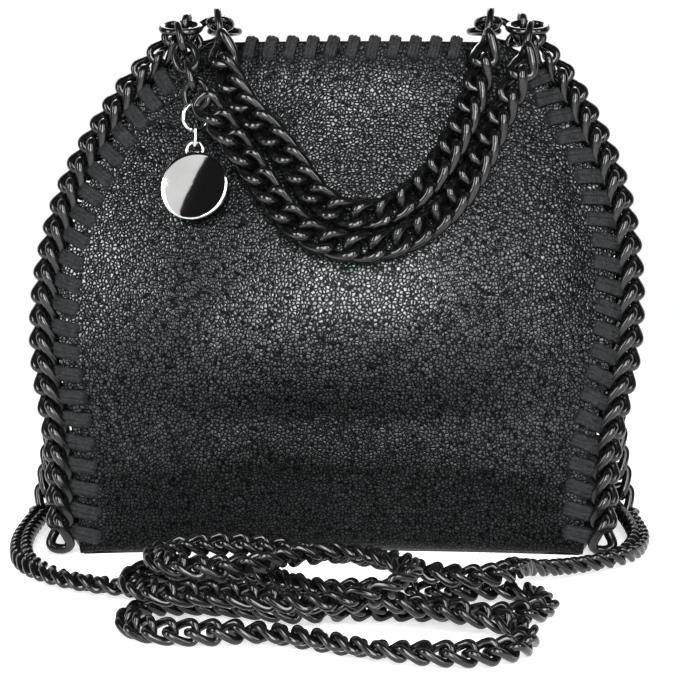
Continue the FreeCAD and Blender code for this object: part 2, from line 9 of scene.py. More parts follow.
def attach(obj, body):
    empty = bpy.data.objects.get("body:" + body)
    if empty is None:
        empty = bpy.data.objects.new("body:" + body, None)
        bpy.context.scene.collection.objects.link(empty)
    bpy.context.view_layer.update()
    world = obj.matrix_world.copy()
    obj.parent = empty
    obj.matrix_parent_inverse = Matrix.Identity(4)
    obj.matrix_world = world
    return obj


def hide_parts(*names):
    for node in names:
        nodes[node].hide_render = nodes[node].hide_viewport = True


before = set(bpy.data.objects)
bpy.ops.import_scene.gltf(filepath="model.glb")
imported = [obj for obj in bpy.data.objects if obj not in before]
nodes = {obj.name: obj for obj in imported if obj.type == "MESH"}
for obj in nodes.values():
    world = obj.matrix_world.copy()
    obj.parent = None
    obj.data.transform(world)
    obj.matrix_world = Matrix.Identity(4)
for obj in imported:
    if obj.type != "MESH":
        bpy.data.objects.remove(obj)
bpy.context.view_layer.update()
mm = 0.001

# Sizes shared with the part's source, in metres
body_height = 160 * mm
widest_half_width = 85.5 * mm
base_half_depth = 26 * mm
belly_depth = 36 * mm
top_lean = 7 * mm
leather_thickness = 1.6 * mm
base_thickness = 2 * mm
gusset_thickness = 1.4 * mm
gusset_inset = 7 * mm
gusset_fold = 10 * mm
seam_gap = 0.4 * mm
board_thickness = 1.6 * mm
board_half_width = 62 * mm
lining_inset = 11 * mm
lining_drop = 7 * mm
edge_pitch = 7.1 * mm
thong_slant = 14
top_lacing_pitch = 6.3 * mm
top_lacing_half_span = 32 * mm
cad_link_wire = 2.2 * mm
link_twist = 50
strap_half_length = 3.9 * mm
strap_half_width = 2.5 * mm
strap_pitch = 5.5 * mm

# Sizes of the visual model alone: fuller chains, wider thong, leather that reaches under the edge chains
edge_reach = 0.9 * mm
thong_width = 4.7 * mm
top_thong_width = 3.7 * mm
thong_thickness = 0.85 * mm
side_thong_tip = 3.4 * mm
top_thong_tip = 1.5 * mm
link_wire = 3.1 * mm
plain_link_wire = 2.35 * mm
corner_height = 150 * mm
twisted_thickness = 1.5 * link_wire
filed_share = 0.93
strap_wire = 2.15 * mm
base_cloth_thickness = 0.6 * mm
wall_cloth_thickness = 0.5 * mm
rim_angle = math.radians(50)

# Scale of the leather's pebbles
grain_scale = 900

# Camera at the photo's viewing angle
camera_place = (0.0085, -0.48, 0.1114)
camera_turn = 0.0125
camera_down = 0.0955
camera_lens = 78.5

# Shape of the walls: shares of the sizes above at shares of the height
height_shares = (0.0, 0.12, 0.25, 0.37, 0.5, 0.62, 0.75, 0.87, 0.94, 1.0)
front_width_shares = (0.91, 0.915, 0.94, 0.985, 1.0, 0.975, 0.90, 0.775, 0.675, 0.52)
back_width_shares = (1.10, 1.06, 1.03, 1.01, 1.0, 0.97, 0.90, 0.775, 0.675, 0.52)
edge_depth_shares = (1.0, 0.99, 0.95, 0.89, 0.80, 0.69, 0.55, 0.42, 0.35, 0.31)
front_middle_shares = (0.56, 0.77, 0.93, 1.0, 1.0, 0.90, 0.70, 0.49, 0.40, 0.34)
back_middle_shares = (0.70, 0.76, 0.80, 0.80, 0.76, 0.68, 0.55, 0.43, 0.36, 0.31)
Wall = namedtuple("Wall", "side widths middles")
front = Wall(-1, front_width_shares, front_middle_shares)
back = Wall(1, back_width_shares, back_middle_shares)


def slope(column, row):
    low = max(row - 1, 0)
    high = min(row + 1, len(column) - 1)
    return (column[high] - column[low]) / (height_shares[high] - height_shares[low])


# Smooth value of a column of shares at a share of the height
def along(column, share):
    row = 0
    while row < len(column) - 2 and height_shares[row + 1] < share:
        row += 1
    span = height_shares[row + 1] - height_shares[row]
    t = (share - height_shares[row]) / span
    rise = 3 * t ** 2 - 2 * t ** 3
    leave = (t ** 3 - 2 * t ** 2 + t) * span * slope(column, row)
    arrive = (t ** 3 - t ** 2) * span * slope(column, row + 1)
    return (1 - rise) * column[row] + rise * column[row + 1] + leave + arrive


def half_width(wall, share):
    return widest_half_width * along(wall.widths, share)


# Point of a wall: across runs from -1 to 1 between the edges, and depth goes into the bag
def wall_point(wall, across, share, depth=0.0):
    x = top_lean * share ** 2 + across * half_width(wall, share)
    edge = base_half_depth * along(edge_depth_shares, share)
    middle = belly_depth * along(wall.middles, share)
    y = edge + (middle - edge) * (1 - across ** 2) - depth
    return Vector((x, wall.side * y, share * body_height))


# Upward and outward directions on a wall
def wall_frame(wall, across, share):
    step = 0.002
    high = min(share + step, 1.0)
    low = max(share - step, 0.0)
    up = (wall_point(wall, across, high) - wall_point(wall, across, low)).normalized()
    sideways = wall_point(wall, across + step, share) - wall_point(wall, across - step, share)
    outward = up.cross(sideways).normalized()
    if outward.y * wall.side < 0:
        outward.negate()
    return up, outward


def make_camera():
    data = bpy.data.cameras.new("camera")
    data.sensor_width = 36
    data.lens = camera_lens
    data.clip_start = 0.01
    camera = bpy.data.objects.new("camera", data)
    bpy.context.collection.objects.link(camera)
    camera.location = camera_place
    level = math.cos(camera_down)
    aim = Vector((-math.sin(camera_turn) * level, math.cos(camera_turn) * level, -math.sin(camera_down)))
    camera.rotation_euler = aim.to_track_quat("-Z", "Y").to_euler()
    bpy.context.scene.camera = camera


make_camera()
bpy.context.scene.view_settings.view_transform = "Standard"


# Helpers for node materials
class Shader:
    def __init__(self, name):
        self.material = bpy.data.materials.new(name)
        self.material.use_nodes = True
        self.tree = self.material.node_tree
        self.bsdf = self.tree.nodes["Principled BSDF"]
        self.place = self.add("ShaderNodeTexCoord").outputs["Object"]

    def add(self, kind, **values):
        node = self.tree.nodes.new(kind)
        for key, value in values.items():
            setattr(node, key, value)
        return node

    def link(self, output, socket):
        self.tree.links.new(output, socket)

    def set(self, **values):
        for key, value in values.items():
            self.bsdf.inputs[key.replace("_", " ")].default_value = value

    def noise(self, scale, detail=4.0, roughness=0.55):
        node = self.add("ShaderNodeTexNoise")
        node.inputs["Scale"].default_value = scale
        node.inputs["Detail"].default_value = detail
        node.inputs["Roughness"].default_value = roughness
        self.link(self.place, node.inputs["Vector"])
        return node.outputs["Fac"]

    def voronoi(self, scale, feature, place, randomness):
        node = self.add("ShaderNodeTexVoronoi", feature=feature)
        node.inputs["Scale"].default_value = scale
        node.inputs["Randomness"].default_value = randomness
        self.link(place, node.inputs["Vector"])
        return node

    # The object's own coordinates, shifted a little by noise so that shapes lose their straight sides
    def wobbled_place(self, scale, amount):
        wobble = self.add("ShaderNodeTexNoise")
        wobble.inputs["Scale"].default_value = scale
        wobble.inputs["Detail"].default_value = 1
        self.link(self.place, wobble.inputs["Vector"])
        small = self.add("ShaderNodeVectorMath", operation="SCALE")
        small.inputs["Scale"].default_value = amount
        self.link(wobble.outputs["Color"], small.inputs[0])
        shifted = self.add("ShaderNodeVectorMath", operation="ADD")
        self.link(self.place, shifted.inputs[0])
        self.link(small.outputs["Vector"], shifted.inputs[1])
        return shifted.outputs["Vector"]

    def ramp(self, factor, stops):
        node = self.add("ShaderNodeValToRGB")
        elements = node.color_ramp.elements
        while len(elements) < len(stops):
            elements.new(0.5)
        for element, (position, colour) in zip(elements, stops):
            element.position = position
            element.color = (*colour, 1)
        self.link(factor, node.inputs["Fac"])
        return node.outputs["Color"]

    def span(self, factor, low, high, new_low, new_high):
        node = self.add("ShaderNodeMapRange")
        sockets = ("From Min", "From Max", "To Min", "To Max")
        for socket, value in zip(sockets, (low, high, new_low, new_high)):
            node.inputs[socket].default_value = value
        self.link(factor, node.inputs["Value"])
        return node.outputs["Result"]

    def smooth_span(self, factor, low, high):
        node = self.add("ShaderNodeMapRange", interpolation_type="SMOOTHSTEP")
        node.inputs["From Min"].default_value = low
        node.inputs["From Max"].default_value = high
        self.link(factor, node.inputs["Value"])
        return node.outputs["Result"]

    def maths(self, operation, a, b):
        node = self.add("ShaderNodeMath", operation=operation)
        for socket, value in zip(node.inputs, (a, b)):
            self.link(value, socket)
        return node.outputs["Value"]

    def bump(self, height, strength, distance, below=None):
        node = self.add("ShaderNodeBump")
        node.inputs["Strength"].default_value = strength
        node.inputs["Distance"].default_value = distance
        self.link(height, node.inputs["Height"])
        if below is not None:
            self.link(below, node.inputs["Normal"])
        return node.outputs["Normal"]

    def finish(self, colour, roughness, normal):
        self.link(colour, self.bsdf.inputs["Base Color"])
        self.link(roughness, self.bsdf.inputs["Roughness"])
        self.link(normal, self.bsdf.inputs["Normal"])
        return self.material


# Crackled black leather: small pebbles with a metallic glint between dark creases; painted shade darkens its
# reflectance towards the base and near the top edge
def leather_material():
    s = Shader("crackled_leather")
    place = s.wobbled_place(420, 0.0008)
    edges = s.voronoi(grain_scale, "DISTANCE_TO_EDGE", place, 0.9).outputs["Distance"]
    cells = s.voronoi(grain_scale, "F1", place, 0.9)
    tilt = s.noise(430, 1)
    fine = s.noise(3600, 3)
    patch = s.noise(26, 4)
    crease = s.smooth_span(edges, 0.0, 0.26)
    dome = s.smooth_span(edges, 0.0, 0.36)
    tone = s.add("ShaderNodeSeparateColor")
    s.link(cells.outputs["Color"], tone.inputs["Color"])
    shine_with_painted_shade = s.maths("MULTIPLY", crease, s.span(tone.outputs["Red"], 0, 1, 0.68, 1))
    shine_with_painted_shade = s.maths("MULTIPLY", shine_with_painted_shade, s.span(patch, 0.3, 0.7, 0.8, 1.1))
    height = s.add("ShaderNodeSeparateXYZ")
    s.link(s.place, height.inputs["Vector"])
    # Painted shade: reflectance falls to about half towards the base
    shine_with_painted_shade = s.maths("MULTIPLY", shine_with_painted_shade, s.span(height.outputs["Z"], 0.0, 0.07, 0.52, 1))
    # Painted shade: reflectance falls to under half along the top edge, where the thong wraps the hem
    shine_with_painted_shade = s.maths("MULTIPLY", shine_with_painted_shade, s.span(height.outputs["Z"], 0.149, 0.156, 1, 0.45))
    black, grey, glint = (0.0012, 0.0014, 0.0015), (0.020, 0.022, 0.0225), (0.085, 0.092, 0.094)
    colour = s.ramp(shine_with_painted_shade, ((0.0, black), (0.5, grey), (1.0, glint)))
    rough = s.maths("ADD", s.span(shine_with_painted_shade, 0, 1, 0.45, 0.2), s.span(fine, 0.3, 0.7, -0.03, 0.03))
    normal = s.bump(dome, 0.22, 0.0003, s.bump(tilt, 0.06, 0.0005))
    s.set(Metallic=0.93, Specular_IOR_Level=0.2)
    return s.finish(colour, rough, normal)


# Charcoal thong: matte, with fine wrinkles
def thong_material():
    s = Shader("thong")
    fine = s.noise(1300, 6, 0.65)
    broad = s.noise(260, 4)
    colour = s.ramp(broad, ((0.3, (0.004, 0.0045, 0.005)), (0.7, (0.0105, 0.0115, 0.013))))
    rough = s.span(fine, 0.3, 0.7, 0.45, 0.75)
    normal = s.bump(fine, 1.0, 0.0005, s.bump(broad, 0.9, 0.002))
    s.set(Specular_IOR_Level=0.3)
    return s.finish(colour, rough, normal)


# Black lacquered metal, with faint wear
def chain_material():
    s = Shader("black_lacquer")
    broad = s.noise(240, 3)
    fine = s.noise(1800, 4)
    colour = s.ramp(broad, ((0.35, (0.002, 0.0021, 0.0023)), (0.65, (0.004, 0.0042, 0.0046))))
    rough = s.span(fine, 0.3, 0.7, 0.13, 0.24)
    normal = s.bump(broad, 0.08, 0.0004)
    s.set(Specular_IOR_Level=0.5)
    return s.finish(colour, rough, normal)


# Bright silver with the faintest polishing marks
def silver_material():
    s = Shader("silver")
    broad = s.noise(90, 3)
    fine = s.noise(3000, 3)
    colour = s.ramp(broad, ((0.3, (0.58, 0.58, 0.575)), (0.7, (0.68, 0.68, 0.67))))
    rough = s.span(fine, 0.3, 0.7, 0.03, 0.06)
    normal = s.bump(broad, 0.04, 0.0005)
    s.set(Metallic=1.0)
    return s.finish(colour, rough, normal)


# Dark woven lining
def lining_material():
    s = Shader("lining")
    threads = []
    for axis in ("X", "Z"):
        wave = s.add("ShaderNodeTexWave", bands_direction=axis)
        wave.inputs["Scale"].default_value = 520
        wave.inputs["Distortion"].default_value = 0.6
        s.link(s.place, wave.inputs["Vector"])
        threads.append(wave.outputs["Fac"])
    weave = s.maths("MAXIMUM", *threads)
    colour = s.ramp(weave, ((0.2, (0.018, 0.017, 0.017)), (0.9, (0.055, 0.052, 0.052))))
    rough = s.span(weave, 0, 1, 0.9, 0.7)
    s.set(Sheen_Weight=0.25, Sheen_Roughness=0.5)
    return s.finish(colour, rough, s.bump(weave, 0.4, 0.0002))


# Grey pressed board
def board_material():
    s = Shader("board")
    grain = s.noise(900, 5)
    colour = s.ramp(grain, ((0.3, (0.05, 0.05, 0.05)), (0.7, (0.09, 0.09, 0.09))))
    return s.finish(colour, s.span(grain, 0.3, 0.7, 0.7, 0.9), s.bump(grain, 0.2, 0.0002))


# Dark plated steel of the snap
def snap_material():
    s = Shader("dark_plated_steel")
    grain = s.noise(1400, 4)
    colour = s.ramp(grain, ((0.3, (0.22, 0.22, 0.23)), (0.7, (0.32, 0.32, 0.33))))
    s.set(Metallic=1.0)
    return s.finish(colour, s.span(grain, 0.3, 0.7, 0.22, 0.36), s.bump(grain, 0.05, 0.0002))


leather = leather_material()
thong = thong_material()
black_lacquer = chain_material()
silver = silver_material()
lining_cloth = lining_material()
board_grey = board_material()
snap_steel = snap_material()


# Objects from lists of points and faces; edges around the marked faces stay crisp
def add_mesh(name, points, faces, material, body, flat_faces=()):
    mesh = bpy.data.meshes.new(name)
    mesh.from_pydata([tuple(p) for p in points], [], [tuple(int(i) for i in f) for f in faces])
    mesh.update()
    mesh.polygons.foreach_set("use_smooth", [True] * len(mesh.polygons))
    if len(flat_faces):
        flat = np.zeros(len(mesh.polygons), bool)
        flat[list(flat_faces)] = True
        mark_flat_edges(mesh, flat)
    mesh.materials.append(material)
    piece = bpy.data.objects.new(name, mesh)
    bpy.context.collection.objects.link(piece)
    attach(piece, body)
    return piece


def mark_flat_edges(mesh, flat):
    sides = {}
    for polygon in mesh.polygons:
        for key in polygon.edge_keys:
            sides.setdefault(key, []).append(flat[polygon.index])
    for edge in mesh.edges:
        found = sides[tuple(sorted(edge.vertices))]
        edge.use_edge_sharp = len(set(found)) > 1


# Quads between rings of points; a closed tube joins its last ring to its first
def tube_faces(rings, around, closed=False):
    faces = []
    for ring in range(rings if closed else rings - 1):
        here = ring * around
        there = (ring + 1) % rings * around
        for step in range(around):
            turn = (step + 1) % around
            faces.append((here + step, here + turn, there + turn, there + step))
    return faces


# Quads of a grid of points, row by row
def grid_faces(rows, columns):
    faces = []
    for row in range(rows - 1):
        for column in range(columns - 1):
            a = row * columns + column
            faces.append((a, a + 1, a + columns + 1, a + columns))
    return faces


# Faces of a shell made of an outer and an inner grid, joined around the rim
def shell_faces(rows, columns, flip=False):
    count = rows * columns
    faces = []
    for quad in grid_faces(rows, columns):
        faces.append(quad)
        faces.append(tuple(i + count for i in quad[::-1]))
    rim = list(range(columns))
    rim += [row * columns + columns - 1 for row in range(1, rows)]
    rim += [(rows - 1) * columns + column for column in range(columns - 2, -1, -1)]
    rim += [row * columns for row in range(rows - 2, 0, -1)]
    for here, there in zip(rim, rim[1:] + rim[:1]):
        faces.append((there, here, here + count, there + count))
    return [face[::-1] for face in faces] if flip else faces


def round_rim(piece, width):
    rounding = piece.modifiers.new("rounded rim", "BEVEL")
    rounding.width = width
    rounding.segments = 2
    rounding.limit_method = "ANGLE"
    rounding.angle_limit = rim_angle


# One link: round wire on an oval, twisted where twist isn't zero, and worn a little flat on both faces
def curb_link(half_length, half_width_of_link, wire, twist, hand, count=56, around=18):
    fuller = 0.9
    rise = hand * half_width_of_link * math.tan(math.radians(twist)) / 2
    centre = []
    for step in range(count):
        t = 2 * math.pi * step / count
        x = half_length * math.copysign(abs(math.cos(t)) ** fuller, math.cos(t))
        y = half_width_of_link * math.copysign(abs(math.sin(t)) ** fuller, math.sin(t))
        centre.append((x, y, rise * math.sin(2 * t)))
    centre = np.array(centre)
    tangent = np.roll(centre, -1, 0) - np.roll(centre, 1, 0)
    tangent /= np.linalg.norm(tangent, axis=1)[:, None]
    upward = np.array((0.0, 0.0, 1.0))
    normal = upward - tangent * tangent[:, 2:3]
    normal /= np.linalg.norm(normal, axis=1)[:, None]
    sideways = np.cross(tangent, normal)
    turn = 2 * np.pi * (np.arange(around) + 0.5) / around
    radius = wire / 2
    section = np.cos(turn)[None, :, None] * normal[:, None] + np.sin(turn)[None, :, None] * sideways[:, None]
    points = (centre[:, None] + radius * section).reshape(-1, 3)
    cut = abs(rise) + radius * filed_share
    filed = np.abs(points[:, 2]) >= cut
    points[:, 2] = np.clip(points[:, 2], -cut, cut)
    faces = np.array(tube_faces(count, around, closed=True))
    return points, faces, filed[faces].all(axis=1)


# Links as one mesh
def add_links(name, links, body):
    points = np.concatenate([link[0] for link in links])
    starts = np.cumsum([0] + [len(link[0]) for link in links])
    faces = np.concatenate([link[1] + start for link, start in zip(links, starts)])
    flat = np.concatenate([link[2] for link in links])
    return add_mesh(name, points, faces, black_lacquer, body, np.flatnonzero(flat))


# The triangles of each separate solid in a CAD mesh; points that agree to a micrometre are one
def triangles_by_solid(mesh):
    points = np.empty(len(mesh.vertices) * 3)
    mesh.vertices.foreach_get("co", points)
    points = points.reshape(-1, 3)
    micrometres = np.round(points * 1e6).astype(np.int64)
    keys, owner = np.unique(micrometres, axis=0, return_inverse=True)
    owner = owner.ravel()
    mesh.calc_loop_triangles()
    corners = np.empty(len(mesh.loop_triangles) * 3, np.int64)
    mesh.loop_triangles.foreach_get("vertices", corners)
    corners = owner[corners].reshape(-1, 3)
    group = np.arange(len(keys))
    while True:
        least = group[corners].min(1)
        new = group.copy()
        for column in range(3):
            np.minimum.at(new, corners[:, column], least)
        new = new[new]
        if (new == group).all():
            break
        group = new
    welded = np.zeros((len(keys), 3))
    welded[owner] = points
    solid = group[corners[:, 0]]
    return [welded[corners[solid == label]] for label in np.unique(solid)]


# Each solid of a CAD node as a centre, three axes, longest first, and its size along them
def solids_of(node):
    found = []
    for triangles in triangles_by_solid(nodes[node].data):
        middles = triangles.mean(1)
        sides = triangles[:, 1:] - triangles[:, :1]
        areas = np.linalg.norm(np.cross(sides[:, 0], sides[:, 1]), axis=1)
        centre = (middles * areas[:, None]).sum(0) / areas.sum()
        spread = ((middles - centre) * areas[:, None]).T @ (middles - centre) / areas.sum()
        axes = np.linalg.eigh(spread)[1][:, ::-1].copy()
        if np.linalg.det(axes) < 0:
            axes[:, 2] *= -1
        local = (triangles.reshape(-1, 3) - centre) @ axes
        found.append((centre, axes, np.ptp(local, axis=0)))
    return found


# A chain's links in the CAD links' places, twisted where those are; plain and corner links have thinner wire
def chain_piece(node, body, hand):
    links = []
    for centre, axes, size in solids_of(node):
        twisted = size[2] > twisted_thickness
        in_corner = body == "bag" and centre[2] > corner_height
        wire = link_wire if twisted and not in_corner else plain_link_wire
        length = (size[0] - cad_link_wire) / 2
        width = (size[1] - cad_link_wire) / 2
        points, faces, flat = curb_link(length, width, wire, link_twist if twisted else 0, hand)
        links.append((points @ axes.T + centre, faces, flat))
    piece = add_links(node + "_links", links, body)
    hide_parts(node)


for place in ("front", "back"):
    chain_piece(place + "_left_edge_chain", "bag", -1)
    chain_piece(place + "_right_edge_chain", "bag", 1)
chain_piece("front_handle_chain", "front_handle", -1)
chain_piece("pendant_carrier_link", "front_handle", -1)
chain_piece("back_handle_root_links", "back_handle_root", -1)
chain_piece("back_handle_chain", "back_handle", -1)

# Strap: links along a smooth line by these places, in millimetres; the pile's links roll more than the runs'
strap_route = (
    (-99.4, 16.3, 4.6), (-99.6, -4, 3.8), (-97, -26, 3.6), (-92, -46, 3.6), (-82, -62, 3.6),
    (-68, -73, 3.6), (-50, -78, 3.6), (-30, -75, 3.6), (-10, -80, 3.6), (10, -76, 3.6), (28, -81, 3.6),
    (43, -77, 3.6), (55, -80, 3.6), (60, -90, 3.6), (55, -100, 3.6), (42, -102, 3.6), (28, -99, 3.6),
    (12, -97, 3.6), (-6, -102, 3.6), (-22, -94, 3.6), (-36, -91, 3.6), (-48, -96, 3.6), (-52, -107, 3.6),
    (-46, -117, 3.6), (-33, -120, 3.6), (-17, -118, 3.6), (-2, -125, 3.6), (10, -132, 3.6), (25, -136, 3.6),
    (38, -136, 3.6), (48, -130, 3.6), (51, -119.5, 3.8), (45.5, -111.5, 4.6), (34, -108, 6.2),
    (18, -109.5, 8.6), (-2, -104, 10.5), (-14, -92, 10.5), (-26, -83, 10.5), (-40, -81, 10.5),
    (-51, -88, 10.5), (-52, -100, 10.5), (-42, -109, 10.5), (-28, -107, 10.5), (-13, -114, 10.6),
    (2, -121.5, 11.4), (15, -121, 14.4), (23, -111, 17), (18, -99, 17.5), (5, -91, 17.5), (-9, -96, 17.5),
    (-19, -106, 17.5), (-31, -110, 17.5), (-43, -104, 17.5), (-46, -92, 17.4), (-38, -83, 17.3),
    (-25, -81, 17.2), (-10, -81, 15.6), (6, -77, 13.2), (21, -83, 11.4), (34, -91, 10.6), (46, -89, 10.6),
    (53, -78, 10.2), (55, -66, 7), (63, -57, 4.4), (76, -49, 3.6), (89, -39, 3.6), (96.5, -22, 3.6),
    (99.6, -4, 3.8), (99.4, 16.3, 4.6))
strap_inset = 1.8 * mm
heading_step = 1 * mm
strap_roll = math.radians(15)
strap_roll_length = 120 * mm
pile_roll = math.radians(38)
pile_roll_length = 87 * mm
run_length = 125 * mm
run_fade = 60 * mm


def smooth_line(route):
    curve = bpy.data.curves.new("strap_line", "CURVE")
    curve.dimensions = "3D"
    curve.resolution_u = 16
    spline = curve.splines.new("NURBS")
    spline.points.add(len(route) - 1)
    for point, place in zip(spline.points, route):
        point.co = (*[c * mm for c in place], 1)
    spline.order_u = 3
    spline.use_endpoint_u = True
    holder = bpy.data.objects.new("strap_line", curve)
    bpy.context.collection.objects.link(holder)
    bpy.context.view_layer.update()
    mesh = bpy.data.meshes.new_from_object(holder.evaluated_get(bpy.context.evaluated_depsgraph_get()))
    line = np.array([tuple(v.co) for v in mesh.vertices])
    bpy.data.objects.remove(holder)
    bpy.data.curves.remove(curve)
    bpy.data.meshes.remove(mesh)
    return line


def strap_piece():
    line = smooth_line(strap_route)
    steps = np.linalg.norm(np.diff(line, axis=0), axis=1)
    travel = np.concatenate(([0], np.cumsum(steps)))
    length = travel[-1]

    def place_at(distance):
        return np.array([np.interp(distance, travel, line[:, k]) for k in range(3)])

    count = round((length - 2 * strap_inset) / strap_pitch)
    points, faces, flat = curb_link(strap_half_length, strap_half_width, strap_wire, link_twist, 1,
                                    count=44, around=14)
    links = []
    for number in range(count + 1):
        share = number / count
        distance = strap_inset + share * (length - 2 * strap_inset)
        ahead, behind = place_at(distance + heading_step), place_at(distance - heading_step)
        heading = Vector(ahead - behind).normalized()
        loose = min(1, max(0, (min(distance, length - distance) - run_length) / run_fade))
        roll = strap_roll * math.sin(2 * math.pi * distance / strap_roll_length)
        roll += loose * pile_roll * math.sin(2 * math.pi * distance / pile_roll_length)
        facing = Matrix.Rotation(roll, 3, heading) @ Vector((0, 0, 1))
        facing = (facing - heading * facing.dot(heading)).normalized()
        axes = np.array((heading, facing.cross(heading), facing)).T
        links.append((points @ axes.T + place_at(distance), faces, flat))
    piece = add_links("strap", links, "bag")
    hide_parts("strap_left_run", "strap_pile", "strap_right_run")


strap_piece()

# Slack of the leather walls: fullness in millimetres at shares of the height, folds, ripples and puckers
front_fullness = ((0.0, 0.0), (0.10, 0.0), (0.17, 1.1), (0.28, -1.5), (0.42, 0.3), (0.55, 0.8), (0.75, -0.2),
                  (1.0, 0.0))
back_fullness = ((0.0, 0.0), (0.2, 0.5), (0.45, -0.4), (0.7, 0.4), (1.0, 0.0))
fold_height = 0.8 * mm
ripple_height = 0.38 * mm
hole_distance = 7 * mm
side_pucker = 0.35 * mm
side_pucker_beat = 0.25 * mm
side_pucker_spread = 5 * mm
top_pucker = 0.3 * mm
top_pucker_beat = 0.2 * mm
top_pucker_spread = 4 * mm
hem_share = 0.4 * mm / body_height
hem_tuck = 2.2 * mm
hem_tuck_height = 5 * mm
wall_rim_round = 0.5 * mm


def swell(fullness, share):
    heights = [row[0] for row in fullness]
    values = [row[1] * mm for row in fullness]
    return np.interp(share, heights, values)


# How far the leather stands out from the plain wall: broad folds, and puckers where the thong pulls
def leather_lift(wall, across, share, fullness):
    point = wall_point(wall, across, share)
    middle = 1 - across ** 4
    wave = noise.noise(Vector((point.x * 16, 7 * wall.side, point.z * 22)))
    ripple = noise.noise(Vector((point.x * 48, 3 * wall.side, point.z * 60)))
    lift = middle * (swell(fullness, share) + fold_height * wave + ripple_height * ripple)
    from_edge = (1 - abs(across)) * half_width(wall, share)
    pull = math.exp(-((from_edge - hole_distance) / side_pucker_spread) ** 2)
    beat = math.cos(2 * math.pi * share * body_height / edge_pitch)
    lift -= pull * (side_pucker + side_pucker_beat * beat)
    from_top = (1 - share) * body_height
    pull_top = math.exp(-((from_top - hole_distance) / top_pucker_spread) ** 2)
    beat_top = math.cos(2 * math.pi * (point.x - top_lean) / top_lacing_pitch)
    return lift - pull_top * (top_pucker + top_pucker_beat * beat_top)


def smooth_rows(values, times):
    for _ in range(times):
        values[1:-1] = (values[:-2] + 2 * values[1:-1] + values[2:]) / 4
    return values


# A leather wall as a dense shell, tucked in at the hem
def leather_wall(name, wall, fullness, columns=170, rows=150):
    across_all = np.linspace(-1, 1, columns)
    share_all = np.linspace(hem_share, 1, rows)
    lifts = np.array([[leather_lift(wall, a, s, fullness) for a in across_all] for s in share_all])
    lifts = smooth_rows(lifts, 6)
    outer, inner = [], []
    for row, share in enumerate(share_all):
        tuck = max(0, 1 - share * body_height / hem_tuck_height)
        for column, across in enumerate(across_all):
            lift = lifts[row, column] - hem_tuck * tuck ** 2
            reach = across * (1 + edge_reach / half_width(wall, share))
            outer.append(wall_point(wall, reach, share, -lift))
            inner.append(wall_point(wall, reach, share, leather_thickness - lift * 0.5))
    faces = shell_faces(rows, columns, flip=wall.side > 0)
    piece = add_mesh(name + "_leather", outer + inner, faces, leather, "bag")
    round_rim(piece, wall_rim_round)
    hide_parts(name)


leather_wall("front_panel", front, front_fullness)
leather_wall("back_panel", back, back_fullness)

# Side gussets: a soft inward fold with slack creases
floor_share = base_thickness / body_height
gusset_top_share = 0.9
gusset_crease = 0.8 * mm
fold_at_base = 0.3
fold_softness = 0.02
fold_depth_share = 0.88


def leather_gusset(name, side, rows=90, columns=40):
    outer, inner = [], []
    for row in range(rows):
        share = floor_share + (gusset_top_share - floor_share) * row / (rows - 1)
        ends = []
        for wall in (front, back):
            reach = 1 - gusset_inset / half_width(wall, share)
            ends.append(wall_point(wall, side * reach, share, leather_thickness + seam_gap))
        fold = gusset_fold * (fold_at_base + (1 - fold_at_base) * share)
        for column in range(columns):
            t = 2 * column / (columns - 1) - 1
            soft = math.sqrt(1 + fold_softness) - math.sqrt(t * t + fold_softness)
            y = ends[0].y + (ends[1].y - ends[0].y) * (t + 1) / 2
            x_end = side * (ends[0].x + (ends[1].x - ends[0].x) * (t + 1) / 2)
            x = x_end - fold * max(soft / fold_depth_share, 0)
            crease = noise.noise(Vector((y * 45, 11 * side, share * 7)))
            x += gusset_crease * crease * math.cos(math.pi * t / 2)
            outer.append(Vector((side * x, y, share * body_height)))
            inner.append(Vector((side * (x - gusset_thickness), y, share * body_height)))
    faces = shell_faces(rows, columns, flip=side < 0)
    piece = add_mesh(name + "_leather", outer + inner, faces, leather, "bag")
    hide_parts(name)


leather_gusset("left_gusset", -1)
leather_gusset("right_gusset", 1)

# Flat sheets between the two walls: base leather and the lining's floor
floor_rim_round = 0.6 * mm
base_leather_depth = 2.0 * mm
base_leather_wrinkle = 0.1 * mm
base_cloth_wrinkle = 0.25 * mm
lining_floor = base_thickness + board_thickness


def floor_sheet(name, node, depth, reach_of, low, high, material, wrinkle, columns=90, rows=40):
    share = low / body_height
    top, bottom = [], []
    for row in range(rows):
        t = row / (rows - 1)
        for column in range(columns):
            across = 2 * column / (columns - 1) - 1
            start, end = (wall_point(wall, across * reach_of(wall, share), share, depth)
                          for wall in (front, back))
            place = start.lerp(end, t)
            rise = wrinkle * noise.noise(Vector((place.x * 30, place.y * 30, 5)))
            edge = min(1, 6 * min(t, 1 - t, (1 - abs(across)) / 2))
            top.append(Vector((place.x, place.y, high + rise * edge)))
            bottom.append(Vector((place.x, place.y, low)))
    piece = add_mesh(name, top + bottom, shell_faces(rows, columns), material, "bag")
    round_rim(piece, min(floor_rim_round, (high - low) * 0.4))
    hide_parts(node)
    return piece


def whole_reach(wall, share):
    return 1.0


def board_reach(wall, share):
    return board_half_width / half_width(wall, share)


floor_sheet("base_leather", "base_panel", base_leather_depth, whole_reach, 0, base_thickness,
            leather, base_leather_wrinkle)
base_cloth = floor_sheet("base_lining_cloth", "base_lining", leather_thickness + 2 * seam_gap, board_reach,
                         lining_floor, lining_floor + base_cloth_thickness,
                         lining_cloth, base_cloth_wrinkle)

# Lining of a wall, slightly slack
lining_slack = 0.5 * mm
lining_gap = 0.3 * mm
lining_foot_gap = 1.0 * mm


